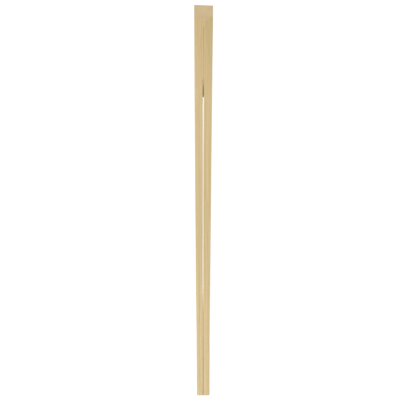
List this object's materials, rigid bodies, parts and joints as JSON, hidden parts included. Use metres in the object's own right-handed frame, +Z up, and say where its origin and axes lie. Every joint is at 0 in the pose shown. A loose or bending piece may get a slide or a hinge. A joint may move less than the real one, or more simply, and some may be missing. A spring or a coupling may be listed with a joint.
{
  "type": "bamboo chopsticks",
  "caption": "Unsplit pair of slim disposable bamboo chopsticks, joined at a slant-cut head, with a saw cut between two tapered legs that spring together towards the tips.",
  "frame": {"origin": "middle of the footprint, on the surface that the flat back rests on", "axes": "+Y along the sticks towards the joined head, +Z up out of the front face that carries the slanted cut, +X across the sticks"},
  "size_m": [0.0116, 0.24, 0.0046],
  "materials": {
    "bamboo": "planed and unvarnished pale straw bamboo with fine long fibres, satin"
  },
  "bodies": {
    "root": {"chopsticks": "bamboo"}
  },
  "joints": []
}
